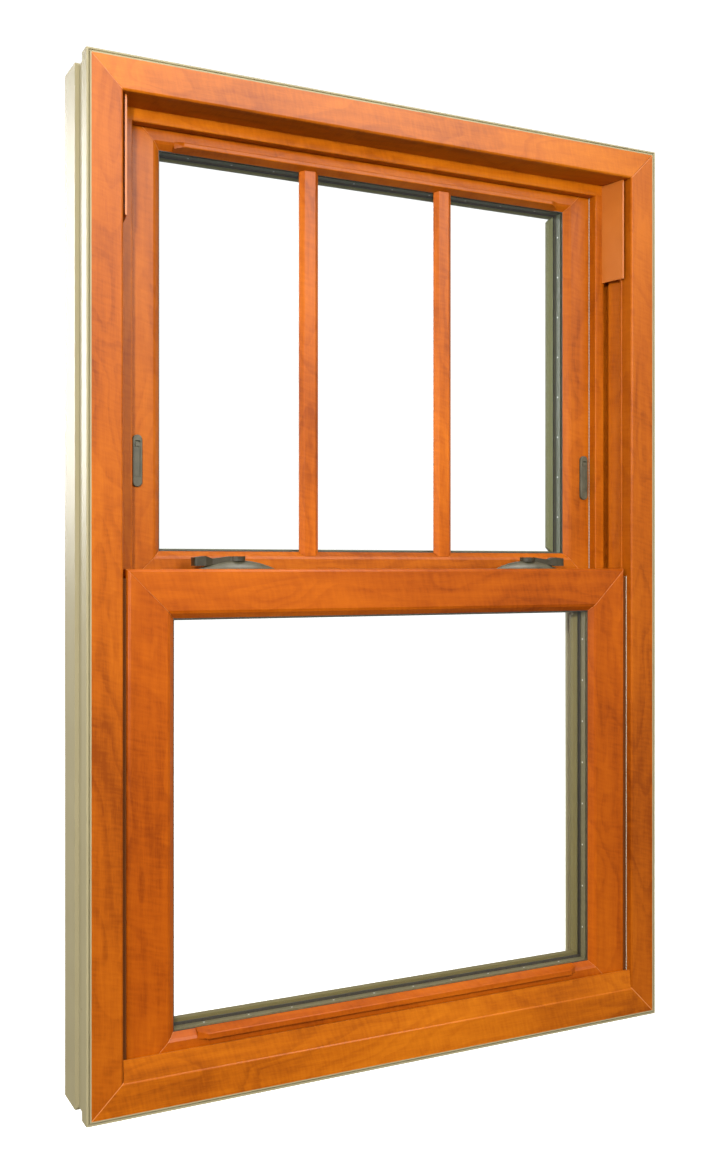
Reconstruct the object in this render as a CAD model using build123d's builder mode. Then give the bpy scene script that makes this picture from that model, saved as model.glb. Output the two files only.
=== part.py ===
import os

from build123d import *

os.makedirs("parts", exist_ok=True)

# Millimetres. X to the right seen from the room, Y out of doors, Z up from the sill's underside.

# Frame
WIDTH = 609.6
HEIGHT = 914.4
DEPTH = 82.55
FACE = 32.0  # width of the frame's face towards the room
LIP_WIDTH = 1.8  # bare edge round the face
LIP_SETBACK = 0.8
SHADOW_GROOVE_WIDTH = 1.2  # groove between the bare edge and the face
SHADOW_GROOVE_DEPTH = 2.2
FACE_ROUND = 2.0
FLANGE_DEPTH = 16.0  # full-size band behind the face
SIDE_GROOVE_DEPTH = 3.0  # recess round the outside, behind the flange
SIDE_GROOVE_END = 38.0
SIDE_GROOVE_SLOPE = 2.0
NOSE_START = 76.0  # outdoor edge tapers from here
NOSE_INSET = 6.0

# Tracks in the jambs
TRACK_RIDGE_START = 15.5
TRACK_RIDGE_END = 18.0
TRACK_RIDGE_HEIGHT = 0.8
TRACK_STEP = 3.0  # track floor behind the ridge, outwards from the face's inner edge
TRACK_FLOOR_LENGTH = 17.3  # along Y
TRACK_CORE = 14.0  # tracks' solid core begins this far in from the outside
TRACK_CORE_END = 9.0  # and ends this far from the frame's top and bottom
TRACK_FLOOR_RISE = 5.5  # floor slopes towards the room's middle as it goes back
PARTING_STOP_DEPTH = 10.2  # along Y
PARTING_STOP_STEP = 7.5  # stop's near side, inwards from the face's inner edge
PARTING_STOP_WIDTH = 11.3
BALANCE_SLOT_DEPTH = 7.2
BALANCE_SLOT_STEP = 1.5  # slot's floor, outwards from the face's inner edge
OUTER_TRACK_DEPTH = 10.8
OUTDOOR_STOP_DEPTH = 3.75
OUTDOOR_STOP_OVERHANG = 6.0  # past the parting stop's edge
PARTING_ROUND = 1.0

# Head and sill
HEAD_PARTING_DROP = 11.7  # parting stop below the head's soffit
HEAD_POCKET = 19.5  # upper sash runs up to here, down from the top
SILL_FLOOR = 20.2
SILL_STEP = 2.5
SILL_OUTDOOR_EDGE = 11.0
SILL_FLOOR_PAST_STOP = 2.2
SILL_DAM_TOP = 50.4
SILL_DAM_SASH_GAP = 1.1
SILL_DAM_SETBACK = 0.6
SILL_DAM_LEAN = 1.7
SILL_DAM_END_GAP = 0.3
WEEP_LENGTH = 28.0
WEEP_HEIGHT = 3.0
WEEP_DEPTH = 9.0
WEEP_INSET = 120.0  # from each side of the frame to the slot's middle

# Sashes
LOWER_TRACK_CLEARANCE = 2.3
UPPER_TRACK_CLEARANCE = 2.0
UPPER_OUTDOOR_CLEARANCE = 0.8
LOWER_SETBACK = 5.5  # lower sash's face behind the frame's face
LOWER_SIDE_GAP = 4.5  # between the lower sash and the jamb's face
LOWER_SILL_GAP = 0.8
LOWER_RAIL = 44.1  # width of stiles and rails up to the glass
MEETING_RISE = 15.0  # lower sash's top above the window's middle
MEETING_OVERLAP = 22.7
UPPER_SIDE_GAP = 1.5  # between the upper sash and its track's floor
UPPER_HEAD_GAP = 2.0
UPPER_RAIL = 39.5
UPPER_OVERLAP = 1.6  # parting stop stands in front of the upper sash's face by this
UPPER_REBATE_DEPTH = 10.0
BEVEL_WIDTH = 7.5
BEVEL_DEPTH = 6.5
BEVEL_SHOULDER_WIDTH = 2.5
BEVEL_SHOULDER_DEPTH = 1.2
LOWER_ROUND = 3.5
UPPER_ROUND = 1.5
STILE_BEAD_LIP = 6.0  # outdoor bead stands in past the room-side bevel
RAIL_BEAD_LIP = 2.0
BEAD_SLOPE = 5.0
BEAD_THICKNESS = 3.0

# Insulated glass
PANE = 3.0
GLASS_BITE = 7.0  # pane hidden behind the bevel
GLASS_EDGE_GAP = 0.5
SPACER_WIDTH = 6.5
SPACER_SHOW = 0.4  # spacer seen past the bevel

# Meeting-rail interlock
HOOK_THICKNESS = 2.0
HOOK_LENGTH = 8.0
HOOK_GAP = 1.2
HOOK_DROP = 4.0  # lower sash's hook below its top

# Lift rails
LIFT_PROJECTION = 5.0
LIFT_FALL = 3.5  # lip's front edge away from the glass line
LIFT_EDGE = 4.0  # height of the lip's front edge
LIFT_UNDERCUT = 1.0
LOWER_LIFT_END_INSET = 64.0  # from the sash's side to the lift's end
UPPER_LIFT_END_INSET = 52.0
LIFT_END_SLOPE = 8.0
LIFT_ROUND = 1.0

# Glazing bars
BAR_WIDTH = 20.0
BAR_FLAT = 11.5
BAR_EDGE = 1.6
BAR_PROUD = 1.3  # bar's face behind the sash's face
BAR_COUNT = 2
BAR_END_GAP = 0.1

# Jamb covers
COVER_THICKNESS = 1.8
COVER_LENGTH = 104.0
COVER_FRONT = 8.0
COVER_STANDOFF = 3.5  # front edge, inwards from the face's inner edge
COVER_END_GAP = 0.3

# Vent latches
VENT_HEIGHT = 47.0
VENT_WIDTH = 9.2
VENT_THICKNESS = 2.8
VENT_ROUND = 0.8
VENT_FROM_EDGE = 9.0  # from the stile's visible edge to the latch's middle
VENT_RISE = 120.0  # latch's middle above the upper sash's bottom
VENT_POCKET_HEIGHT = 32.3
VENT_POCKET_WIDTH = 5.0
VENT_POCKET_DEPTH = 2.0
VENT_POCKET_RISE = 2.0
VENT_SLIDER_TRAVEL = 1.8
VENT_SLIDER_CLEARANCE = 0.25
VENT_SLIDER_SETBACK = 0.6
VENT_GRIP_HEIGHT = 3.6
VENT_GRIP_PROUD = 0.7

# Sash locks
LOCK_FROM_EDGE = 109.3  # from the lower sash's edge to the lock's middle
LOCK_LENGTH = 75.0
LOCK_HEIGHT = 8.0
LOCK_FROM_BACK = 8.5  # from the sash's outdoor face to the lock's middle
LEVER_SEAT_GAP = 0.1
LEVER_HUB_RADIUS = 7.5
LEVER_HUB_LOW = 7.0  # above the sash's top, as the lever's other heights
LEVER_HUB_TOP = 11.5
LEVER_ARM_TOP = 9.4
LEVER_ARM_REACH = 25.0
LEVER_NECK = 6.5
LEVER_REACH = 43.0
LEVER_THUMB_WIDTH = 12.0
LEVER_THUMB_START = 32.0
LEVER_THUMB_TOP = 11.6
LEVER_TIP_TOP = 10.4
LEVER_THUMB_LOW = 2.8
LEVER_TIP_ROUND = 3.0
KEEPER_LENGTH = 20.0
KEEPER_PROJECTION = 6.0
KEEPER_HEIGHT = 3.2
KEEPER_ROUND = 1.2
KEEPER_TAPER = 8.0  # degrees
KEEPER_ABOVE_LOWER_SASH = 0.4

# Pile weatherstrips
LOWER_PILE_CLEARANCE = 0.1  # to the jamb's return
LOWER_PILE_DEPTH = 4.5
LOWER_PILE_SETBACK = 2.3  # behind the sash's face
LOWER_PILE_RISE = 4.0  # above the sash's bottom
LOWER_PILE_DROP = 8.0  # below the sash's top
UPPER_PILE_WIDTH = 4.0
UPPER_PILE_SETBACK = 0.2  # from the parting stop's edge
UPPER_PILE_RISE = 10.0  # above the sash's bottom
UPPER_PILE_CLEARANCE = 0.1

# Installation screws
SCREW_RADIUS = 2.5
SCREW_FROM_END = 90.0

# Places worked out from the sizes above
HALF_WIDTH = WIDTH / 2
ROOM_FACE = -DEPTH / 2
GROOVE_END = LIP_WIDTH + SHADOW_GROOVE_WIDTH
STOPS_AND_GAPS = (
    LOWER_SETBACK
    + LOWER_TRACK_CLEARANCE
    + PARTING_STOP_DEPTH
    + UPPER_TRACK_CLEARANCE
    + UPPER_OUTDOOR_CLEARANCE
    + OUTDOOR_STOP_DEPTH
)
SASH_THICKNESS = (DEPTH - STOPS_AND_GAPS) / 2
PANE_GAP = SASH_THICKNESS - BEVEL_DEPTH - 2 * PANE - BEAD_SLOPE - BEAD_THICKNESS
LOWER_FACE = LOWER_SETBACK
PARTING_FRONT = LOWER_FACE + SASH_THICKNESS + LOWER_TRACK_CLEARANCE
PARTING_BACK = PARTING_FRONT + PARTING_STOP_DEPTH
PARTING_START = FACE + PARTING_STOP_STEP
PARTING_EDGE = PARTING_START + PARTING_STOP_WIDTH
TRACK_FLOOR_END = TRACK_RIDGE_END + TRACK_FLOOR_LENGTH
SLOT_FLOOR = FACE - BALANCE_SLOT_STEP
SLOT_END = PARTING_FRONT + BALANCE_SLOT_DEPTH
OUTER_TRACK_FLOOR = PARTING_EDGE - OUTER_TRACK_DEPTH
OUTDOOR_STOP = DEPTH - OUTDOOR_STOP_DEPTH
OUTDOOR_STOP_EDGE = PARTING_EDGE + OUTDOOR_STOP_OVERHANG
SILL_DAM_BACK = LOWER_FACE - SILL_DAM_SASH_GAP
SILL_FLOOR_END = PARTING_FRONT + SILL_FLOOR_PAST_STOP
LOWER_SIDE_INSET = FACE + LOWER_SIDE_GAP
LOWER_BOTTOM = SILL_FLOOR + LOWER_SILL_GAP
LOWER_TOP = HEIGHT / 2 + MEETING_RISE
UPPER_FACE = PARTING_BACK + UPPER_TRACK_CLEARANCE
HOOK_REACH = (UPPER_FACE - LOWER_FACE - SASH_THICKNESS + HOOK_GAP) / 2 + HOOK_THICKNESS
UPPER_SIDE_INSET = OUTER_TRACK_FLOOR + UPPER_SIDE_GAP
UPPER_REBATE = PARTING_EDGE - UPPER_OVERLAP - UPPER_SIDE_INSET
UPPER_TOP = HEIGHT - HEAD_POCKET - UPPER_HEAD_GAP
UPPER_BOTTOM = LOWER_TOP - MEETING_OVERLAP
GLASS_FRONT = BEVEL_DEPTH
GLASS_BACK = GLASS_FRONT + PANE + PANE_GAP + PANE
SCREW_DEPTH = (TRACK_RIDGE_END + TRACK_FLOOR_END) / 2


def save(builder, name):
    builder.part.label = name
    export_step(builder.part, f"parts/{name}.step")


def upright_plane(level):
    """Plane for an upright's section: X across, Y out of doors"""
    return Plane((0, ROOM_FACE, level))


def level_plane(start):
    """Plane for a level member's section: its x runs out of doors, its y up"""
    return Plane((start, ROOM_FACE, 0), x_dir=(0, 1, 0), z_dir=(1, 0, 0))


def rounded_section(points, rounds):
    """Closed section with some of its corners rounded, each given as a point and a radius"""
    with BuildSketch(mode=Mode.PRIVATE) as section:
        with BuildLine():
            Polyline(*points, close=True)
        make_face()
        for corner, radius in rounds:
            fillet(section.vertices().sort_by_distance((*corner, 0))[0], radius)
    return section.sketch


def mitre(corner_x, corner_z, away_x, away_z):
    """Cut the member at 45 degrees through an outer corner and drop what lies in the given direction"""
    split(bisect_by=Plane((corner_x, 0, corner_z), z_dir=(away_x, 0, away_z)), keep=Keep.BOTTOM)


def upright(outline, rounds, side, edge, low, high):
    """Upright whose outline gives distance in from its outer edge and depth behind the frame's face"""

    def place(point):
        return (side * (edge - point[0]), point[1])

    points = [place(point) for point in outline]
    corners = [(place(point), radius) for point, radius in rounds]
    with BuildSketch(upright_plane(low)) as section:
        add(rounded_section(points, corners))
    extrude(section.sketch, amount=high - low)


def mitred_upright(outline, rounds, side, edge, low, high):
    upright(outline, rounds, side, edge, low, high)
    mitre(side * edge, high, -side, 1)
    mitre(side * edge, low, -side, -1)


def mitred_level(outline, rounds, upward, edge, half_length):
    """Level member whose outline gives distance in from its outer edge and depth behind the frame's face"""

    def place(point):
        return (point[1], edge - upward * point[0])

    points = [place(point) for point in outline]
    corners = [(place(point), radius) for point, radius in rounds]
    with BuildSketch(level_plane(-half_length)) as section:
        add(rounded_section(points, corners))
    extrude(section.sketch, amount=2 * half_length)
    for side in (-1, 1):
        mitre(side * half_length, edge, side, -upward)


# Outline of the frame's outside and face, shared by its four members
FACE_OUTLINE = [
    (0, LIP_SETBACK),
    (LIP_WIDTH, LIP_SETBACK),
    (LIP_WIDTH, SHADOW_GROOVE_DEPTH),
    (GROOVE_END, SHADOW_GROOVE_DEPTH),
    (GROOVE_END, 0),
    (FACE, 0),
]
OUTSIDE_OUTLINE = [
    (NOSE_INSET, DEPTH),
    (0, NOSE_START),
    (0, SIDE_GROOVE_END + SIDE_GROOVE_SLOPE),
    (SIDE_GROOVE_DEPTH, SIDE_GROOVE_END),
    (SIDE_GROOVE_DEPTH, FLANGE_DEPTH + SIDE_GROOVE_SLOPE),
    (0, FLANGE_DEPTH),
]

TRACK_OUTLINE = [
    (FACE - TRACK_STEP, TRACK_RIDGE_END),
    (FACE - TRACK_STEP + TRACK_FLOOR_RISE, TRACK_FLOOR_END),
    (SLOT_FLOOR, TRACK_FLOOR_END),
    (SLOT_FLOOR, SLOT_END),
    (PARTING_START, SLOT_END),
    (PARTING_START, PARTING_FRONT),
    (PARTING_EDGE, PARTING_FRONT),
    (PARTING_EDGE, PARTING_BACK),
    (OUTER_TRACK_FLOOR, PARTING_BACK),
    (OUTER_TRACK_FLOOR, OUTDOOR_STOP),
    (OUTDOOR_STOP_EDGE, OUTDOOR_STOP),
    (OUTDOOR_STOP_EDGE, DEPTH),
]
TRACK_ROUNDS = [
    ((PARTING_EDGE, PARTING_FRONT), PARTING_ROUND),
    ((PARTING_START, PARTING_FRONT), PARTING_ROUND),
]
TRACK_CORE_OUTLINE = [(TRACK_CORE, TRACK_RIDGE_END)] + TRACK_OUTLINE + [(TRACK_CORE, DEPTH)]
RIDGE_OUTLINE = [
    (FACE, TRACK_RIDGE_START),
    (FACE + TRACK_RIDGE_HEIGHT, TRACK_RIDGE_START + TRACK_RIDGE_HEIGHT),
    (FACE + TRACK_RIDGE_HEIGHT, TRACK_RIDGE_END),
]
JAMB_OUTLINE = FACE_OUTLINE + RIDGE_OUTLINE + TRACK_OUTLINE + OUTSIDE_OUTLINE
JAMB_ROUNDS = [((FACE, 0), FACE_ROUND)] + TRACK_ROUNDS

HEAD_OUTLINE = FACE_OUTLINE + [
    (FACE, PARTING_FRONT),
    (FACE + HEAD_PARTING_DROP, PARTING_FRONT),
    (FACE + HEAD_PARTING_DROP, PARTING_BACK),
    (HEAD_POCKET, PARTING_BACK),
    (HEAD_POCKET, OUTDOOR_STOP),
    (FACE + HEAD_PARTING_DROP, OUTDOOR_STOP),
    (FACE + HEAD_PARTING_DROP, DEPTH),
] + OUTSIDE_OUTLINE
HEAD_ROUNDS = [
    ((FACE, 0), FACE_ROUND),
    ((FACE + HEAD_PARTING_DROP, PARTING_FRONT), PARTING_ROUND),
]

SILL_OUTLINE = FACE_OUTLINE + [
    (FACE, SILL_DAM_BACK),
    (SILL_FLOOR, SILL_DAM_BACK),
    (SILL_FLOOR, SILL_FLOOR_END),
    (SILL_FLOOR - SILL_STEP, SILL_FLOOR_END + SILL_STEP),
    (SILL_OUTDOOR_EDGE, DEPTH),
] + OUTSIDE_OUTLINE
SILL_ROUNDS = [((FACE, 0), FACE_ROUND)]

with BuildPart() as frame_head:
    mitred_level(HEAD_OUTLINE, HEAD_ROUNDS, 1, HEIGHT, HALF_WIDTH)
save(frame_head, "frame_head")

with BuildPart() as frame_sill:
    mitred_level(SILL_OUTLINE, SILL_ROUNDS, -1, 0, HALF_WIDTH)
    dam_half_length = HALF_WIDTH - FACE - SILL_DAM_END_GAP
    with BuildSketch(level_plane(-dam_half_length)):
        with BuildLine():
            Polyline(
                (SILL_DAM_SETBACK, FACE),
                (SILL_DAM_SETBACK, FACE - FACE_ROUND),
                (SILL_DAM_BACK, FACE - FACE_ROUND),
                (SILL_DAM_BACK, SILL_DAM_TOP),
                (SILL_DAM_SETBACK + SILL_DAM_LEAN, SILL_DAM_TOP),
                close=True,
            )
        make_face()
    extrude(amount=2 * dam_half_length)
    with BuildSketch(Plane((0, -ROOM_FACE, 0), x_dir=(1, 0, 0), z_dir=(0, -1, 0))):
        with Locations(
            (-HALF_WIDTH + WEEP_INSET, -(NOSE_INSET + SILL_OUTDOOR_EDGE) / 2),
            (HALF_WIDTH - WEEP_INSET, -(NOSE_INSET + SILL_OUTDOOR_EDGE) / 2),
        ):
            SlotOverall(WEEP_LENGTH, WEEP_HEIGHT)
    extrude(amount=WEEP_DEPTH, mode=Mode.SUBTRACT)
save(frame_sill, "frame_sill")

# Jambs: their tracks run down to the sill and up to the head
for side_name, side in (("left", -1), ("right", 1)):
    with BuildPart() as frame_jamb:
        mitred_upright(JAMB_OUTLINE, JAMB_ROUNDS, side, HALF_WIDTH, 0, HEIGHT)
        with BuildPart(mode=Mode.PRIVATE) as track_core:
            core_top = HEIGHT - TRACK_CORE_END
            upright(TRACK_CORE_OUTLINE, TRACK_ROUNDS, side, HALF_WIDTH, TRACK_CORE_END, core_top)
            add(frame_head.part, mode=Mode.SUBTRACT)
            add(frame_sill.part, mode=Mode.SUBTRACT)
        add(track_core.part)
        with BuildSketch(Plane((side * HALF_WIDTH, 0, 0), x_dir=(0, 1, 0), z_dir=(-side, 0, 0))):
            for screw_level in (SCREW_FROM_END, HEIGHT - SCREW_FROM_END):
                with Locations((ROOM_FACE + SCREW_DEPTH, -side * screw_level)):
                    Circle(SCREW_RADIUS)
        extrude(amount=PARTING_EDGE, mode=Mode.SUBTRACT)
    save(frame_jamb, f"frame_{side_name}_jamb")


def sash_outline(rail, rebate, face, bead_lip):
    """Section of a stile or rail: distance in from the sash's outer edge, depth behind the frame's face"""
    flat_end = rail - BEVEL_WIDTH
    back = face + SASH_THICKNESS
    outline = [
        (rebate, face),
        (flat_end, face),
        (flat_end + BEVEL_SHOULDER_WIDTH, face + BEVEL_SHOULDER_DEPTH),
        (rail, face + GLASS_FRONT),
        (rail - GLASS_BITE - GLASS_EDGE_GAP, face + GLASS_FRONT),
        (rail - GLASS_BITE - GLASS_EDGE_GAP, face + GLASS_BACK),
        (rail, face + GLASS_BACK),
        (rail + bead_lip, face + GLASS_BACK + BEAD_SLOPE),
        (rail + bead_lip, back),
        (0, back),
    ]
    if rebate:
        outline += [(0, face + UPPER_REBATE_DEPTH), (rebate, face + UPPER_REBATE_DEPTH)]
    return outline


def lift_rail(face, glass_line, towards_glass, reach):
    """Finger lip along a rail: its top falls from the glass line, its ends are cut back at a slope"""
    front = face - LIFT_PROJECTION
    edge_line = glass_line - towards_glass * LIFT_FALL
    low_line = edge_line - towards_glass * LIFT_EDGE
    points = [
        (face + GLASS_FRONT, glass_line),
        (front, edge_line),
        (front, low_line),
        (face, low_line - towards_glass * LIFT_UNDERCUT),
        (face + GLASS_FRONT, low_line - towards_glass * LIFT_UNDERCUT),
    ]
    rounds = [((front, edge_line), LIFT_ROUND), ((front, low_line), LIFT_ROUND)]
    with BuildSketch(level_plane(-reach)) as section:
        add(rounded_section(points, rounds))
    with BuildPart(mode=Mode.PRIVATE) as lip:
        extrude(section.sketch, amount=2 * reach)
        for side in (-1, 1):
            end_plane = Plane(
                (side * reach, ROOM_FACE + face, 0), z_dir=(side * LIFT_PROJECTION, -LIFT_END_SLOPE, 0)
            )
            split(bisect_by=end_plane, keep=Keep.BOTTOM)
    add(lip.part)


def hook(start, reach_sign, root_level, hook_sign, half_length):
    """Interlock fin along a meeting rail, bent at its free edge"""
    tip = start + reach_sign * HOOK_REACH
    inner_tip = tip - reach_sign * HOOK_THICKNESS
    far_level = root_level - hook_sign * HOOK_THICKNESS
    bent_level = far_level + hook_sign * HOOK_LENGTH
    with BuildSketch(level_plane(-half_length)) as section:
        with BuildLine():
            Polyline(
                (start, far_level),
                (tip, far_level),
                (tip, bent_level),
                (inner_tip, bent_level),
                (inner_tip, root_level),
                (start, root_level),
                close=True,
            )
        make_face()
    extrude(section.sketch, amount=2 * half_length)


LOWER_HALF_WIDTH = HALF_WIDTH - LOWER_SIDE_INSET
UPPER_HALF_WIDTH = HALF_WIDTH - UPPER_SIDE_INSET
LOWER_RAIL_OUTLINE = sash_outline(LOWER_RAIL, 0, LOWER_FACE, RAIL_BEAD_LIP)
LOWER_STILE_OUTLINE = sash_outline(LOWER_RAIL, 0, LOWER_FACE, STILE_BEAD_LIP)
LOWER_ROUNDS = [((0, LOWER_FACE), LOWER_ROUND)]
UPPER_RAIL_OUTLINE = sash_outline(UPPER_RAIL, UPPER_REBATE, UPPER_FACE, RAIL_BEAD_LIP)
UPPER_STILE_OUTLINE = sash_outline(UPPER_RAIL, UPPER_REBATE, UPPER_FACE, STILE_BEAD_LIP)
UPPER_ROUNDS = [((UPPER_REBATE, UPPER_FACE), UPPER_ROUND)]
UPPER_MEETING_OUTLINE = sash_outline(UPPER_RAIL, 0, UPPER_FACE, RAIL_BEAD_LIP)
HOOK_HALF_LENGTH = UPPER_HALF_WIDTH - UPPER_RAIL
LOWER_HOOK_LEVEL = LOWER_TOP - HOOK_DROP - HOOK_THICKNESS
UPPER_HOOK_LEVEL = LOWER_HOOK_LEVEL - HOOK_LENGTH + HOOK_THICKNESS - HOOK_GAP

with BuildPart() as lower_sash_top_rail:
    mitred_level(LOWER_RAIL_OUTLINE, LOWER_ROUNDS, 1, LOWER_TOP, LOWER_HALF_WIDTH)
    hook(LOWER_FACE + SASH_THICKNESS, 1, LOWER_HOOK_LEVEL, -1, HOOK_HALF_LENGTH)
save(lower_sash_top_rail, "lower_sash_top_rail")

with BuildPart() as lower_sash_bottom_rail:
    mitred_level(LOWER_RAIL_OUTLINE, LOWER_ROUNDS, -1, LOWER_BOTTOM, LOWER_HALF_WIDTH)
    lift_rail(LOWER_FACE, LOWER_BOTTOM + LOWER_RAIL, 1, LOWER_HALF_WIDTH - LOWER_LIFT_END_INSET)
save(lower_sash_bottom_rail, "lower_sash_bottom_rail")

with BuildPart() as upper_sash_top_rail:
    mitred_level(UPPER_RAIL_OUTLINE, UPPER_ROUNDS, 1, UPPER_TOP, UPPER_HALF_WIDTH)
    lift_rail(UPPER_FACE, UPPER_TOP - UPPER_RAIL, -1, UPPER_HALF_WIDTH - UPPER_LIFT_END_INSET)
save(upper_sash_top_rail, "upper_sash_top_rail")

with BuildPart() as upper_sash_bottom_rail:
    mitred_level(UPPER_MEETING_OUTLINE, [], -1, UPPER_BOTTOM, UPPER_HALF_WIDTH)
    hook(UPPER_FACE, -1, UPPER_HOOK_LEVEL, 1, HOOK_HALF_LENGTH)
save(upper_sash_bottom_rail, "upper_sash_bottom_rail")

for side_name, side in (("left", -1), ("right", 1)):
    with BuildPart() as lower_sash_stile:
        mitred_upright(LOWER_STILE_OUTLINE, LOWER_ROUNDS, side, LOWER_HALF_WIDTH, LOWER_BOTTOM, LOWER_TOP)
    save(lower_sash_stile, f"lower_sash_{side_name}_stile")

    with BuildPart() as upper_sash_stile:
        mitred_upright(UPPER_STILE_OUTLINE, UPPER_ROUNDS, side, UPPER_HALF_WIDTH, UPPER_BOTTOM, UPPER_TOP)
    save(upper_sash_stile, f"upper_sash_{side_name}_stile")

# Panes and spacer of each sash
SASHES = (
    (
        "lower",
        LOWER_FACE,
        LOWER_HALF_WIDTH - LOWER_RAIL,
        LOWER_BOTTOM + LOWER_RAIL,
        LOWER_TOP - LOWER_RAIL,
    ),
    (
        "upper",
        UPPER_FACE,
        UPPER_HALF_WIDTH - UPPER_RAIL,
        UPPER_BOTTOM + UPPER_RAIL,
        UPPER_TOP - UPPER_RAIL,
    ),
)
for sash_name, face, sight_half_width, sight_low, sight_high in SASHES:
    middle = (sight_low + sight_high) / 2
    sight_width = 2 * sight_half_width
    sight_height = sight_high - sight_low
    pane_width = sight_width + 2 * GLASS_BITE
    pane_height = sight_height + 2 * GLASS_BITE
    panes = (("inner", face + GLASS_FRONT), ("outer", face + GLASS_FRONT + PANE + PANE_GAP))
    for pane_name, start in panes:
        with BuildPart() as glass:
            with BuildSketch(Plane((0, ROOM_FACE + start, middle), x_dir=(1, 0, 0), z_dir=(0, 1, 0))):
                Rectangle(pane_width, pane_height)
            extrude(amount=PANE)
        save(glass, f"{sash_name}_{pane_name}_glass")

    with BuildPart() as spacer:
        spacer_start = ROOM_FACE + face + GLASS_FRONT + PANE
        spacer_hidden = SPACER_WIDTH - SPACER_SHOW
        with BuildSketch(Plane((0, spacer_start, middle), x_dir=(1, 0, 0), z_dir=(0, 1, 0))):
            Rectangle(sight_width + 2 * spacer_hidden, sight_height + 2 * spacer_hidden)
            Rectangle(sight_width - 2 * SPACER_SHOW, sight_height - 2 * SPACER_SHOW, mode=Mode.SUBTRACT)
        extrude(amount=PANE_GAP)
    save(spacer, f"{sash_name}_glass_spacer")

# Glazing bars on the room side of the upper glass, their ends cut to seat on the bevel and under the lip
BAR_FACE = UPPER_FACE + BAR_PROUD
BAR_BACK = UPPER_FACE + GLASS_FRONT
BEVEL_RUN = BEVEL_WIDTH - BEVEL_SHOULDER_WIDTH
BEVEL_RISE = BEVEL_DEPTH - BEVEL_SHOULDER_DEPTH
SIGHT_LOW = UPPER_BOTTOM + UPPER_RAIL + BAR_END_GAP
SIGHT_HIGH = UPPER_TOP - UPPER_RAIL - BAR_END_GAP
BAR_ENDS = (
    (SIGHT_LOW, BEVEL_RUN, -BEVEL_RISE),
    (SIGHT_HIGH, LIFT_FALL, GLASS_FRONT + LIFT_PROJECTION),
)
BAR_PITCH = 2 * (UPPER_HALF_WIDTH - UPPER_RAIL) / (BAR_COUNT + 1)
for bar_name, bar_place in (("left", -BAR_PITCH / 2), ("right", BAR_PITCH / 2)):
    with BuildPart() as glazing_bar:
        with BuildSketch(upright_plane(UPPER_BOTTOM)):
            with BuildLine():
                Polyline(
                    (bar_place - BAR_WIDTH / 2, BAR_BACK),
                    (bar_place - BAR_WIDTH / 2, BAR_BACK - BAR_EDGE),
                    (bar_place - BAR_FLAT / 2, BAR_FACE),
                    (bar_place + BAR_FLAT / 2, BAR_FACE),
                    (bar_place + BAR_WIDTH / 2, BAR_BACK - BAR_EDGE),
                    (bar_place + BAR_WIDTH / 2, BAR_BACK),
                    close=True,
                )
            make_face()
        extrude(amount=UPPER_TOP - UPPER_BOTTOM)
        for end_level, end_run, end_rise in BAR_ENDS:
            end_normal = (0, end_run, end_rise)
            end_plane = Plane((0, ROOM_FACE + BAR_BACK, end_level), x_dir=(1, 0, 0), z_dir=end_normal)
            split(bisect_by=end_plane, keep=Keep.BOTTOM)
    save(glazing_bar, f"upper_{bar_name}_bar")

# Covers over the upper ends of the inner tracks
COVER_TOP = HEIGHT - FACE - COVER_END_GAP
for side_name, side in (("left", -1), ("right", 1)):
    with BuildPart() as jamb_cover:
        with BuildSketch(upright_plane(COVER_TOP - COVER_LENGTH)):
            front_inset = FACE + COVER_STANDOFF
            back_inset = PARTING_START + PARTING_ROUND
            ridge_inset = FACE + TRACK_RIDGE_HEIGHT
            foot_start = TRACK_RIDGE_START + TRACK_RIDGE_HEIGHT
            slope = (back_inset - front_inset) / (PARTING_FRONT - COVER_FRONT)
            section = [
                (front_inset, COVER_FRONT),
                (front_inset + COVER_THICKNESS, COVER_FRONT),
                (back_inset + COVER_THICKNESS, PARTING_FRONT),
                (back_inset, PARTING_FRONT),
                (front_inset + slope * (TRACK_RIDGE_END - COVER_FRONT), TRACK_RIDGE_END),
                (ridge_inset, TRACK_RIDGE_END),
                (ridge_inset, foot_start),
                (front_inset + slope * (foot_start - COVER_FRONT), foot_start),
            ]
            with BuildLine():
                Polyline(*[(side * (HALF_WIDTH - inset), depth) for inset, depth in section], close=True)
            make_face()
        extrude(amount=COVER_LENGTH)
    save(jamb_cover, f"{side_name}_jamb_cover")

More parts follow.
